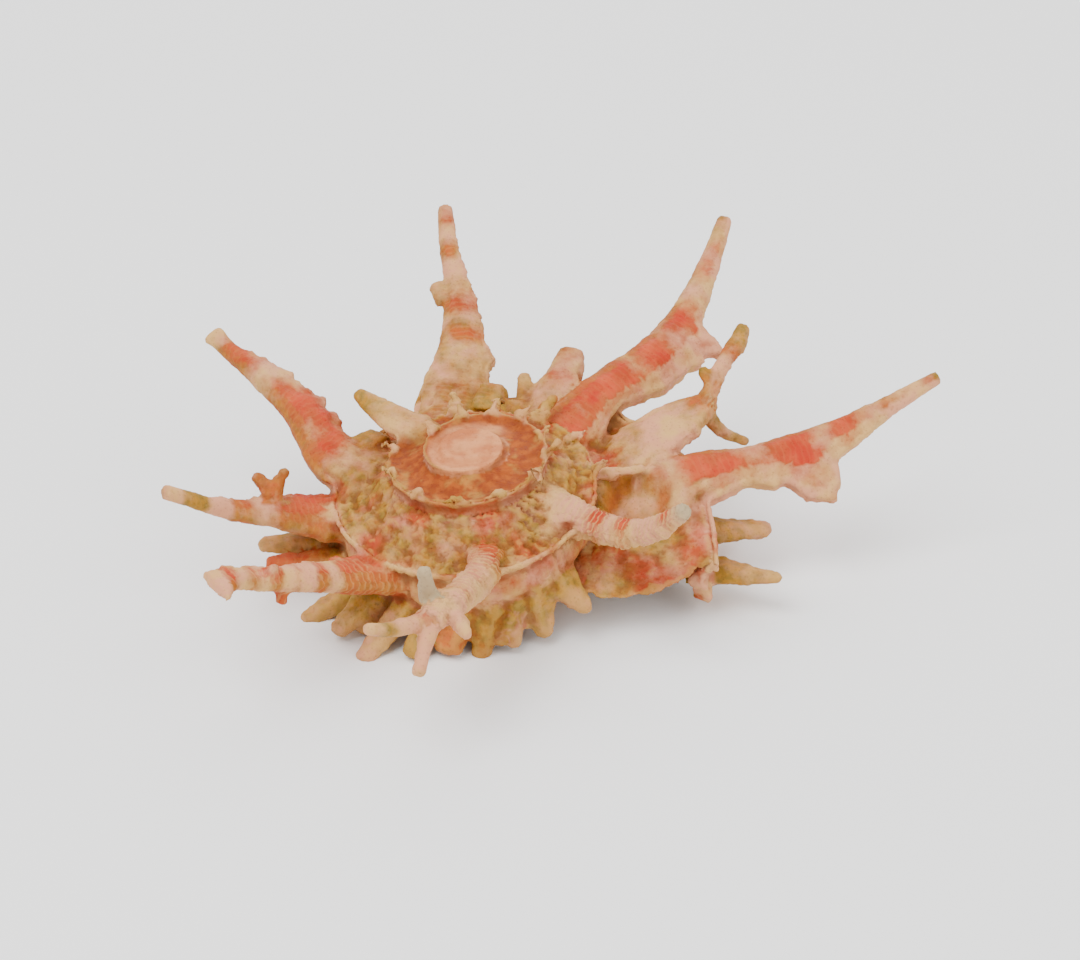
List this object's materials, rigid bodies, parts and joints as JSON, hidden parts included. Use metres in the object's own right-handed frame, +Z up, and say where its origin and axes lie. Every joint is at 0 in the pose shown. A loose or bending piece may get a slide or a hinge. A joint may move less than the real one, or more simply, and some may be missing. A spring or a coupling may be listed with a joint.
{
  "type": "dolphin snail shell",
  "caption": "Low coiled sea snail shell with long forked gutter spines radiating from its keel, short lower spines, an open navel and a mouth facing down.",
  "frame": {"origin": "centre of the shell's bounding box, at the height of the surface that it rests on", "axes": "+Z up from the surface it rests on, with the worn apex on top; +X to the right and +Y away from the viewer of the picture"},
  "size_m": [0.0761, 0.0664, 0.0246],
  "materials": {
    "shell": "matt rough shell, coral red, cream and tan"
  },
  "bodies": {
    "root": {"shell": "shell"}
  },
  "joints": []
}
